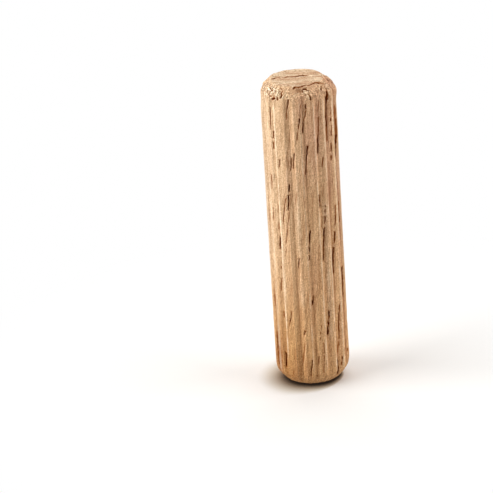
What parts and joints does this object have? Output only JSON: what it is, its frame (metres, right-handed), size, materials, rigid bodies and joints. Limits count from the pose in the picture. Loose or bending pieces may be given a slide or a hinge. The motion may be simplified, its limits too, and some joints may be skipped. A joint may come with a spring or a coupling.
{
  "type": "dowel pin",
  "caption": "Fluted hardwood dowel pin, 8 x 35 mm: a straight round rod with V flutes along its whole length and a bevelled, rounded end at both head and foot.",
  "frame": {"origin": "middle of the flat face at the foot, on which the pin stands", "axes": "+Z along the pin's axis from foot to head"},
  "size_m": [0.0081, 0.008, 0.035],
  "materials": {
    "hardwood": "bare, drawn and tumbled"
  },
  "bodies": {
    "root": {"dowel": "hardwood"}
  },
  "joints": []
}
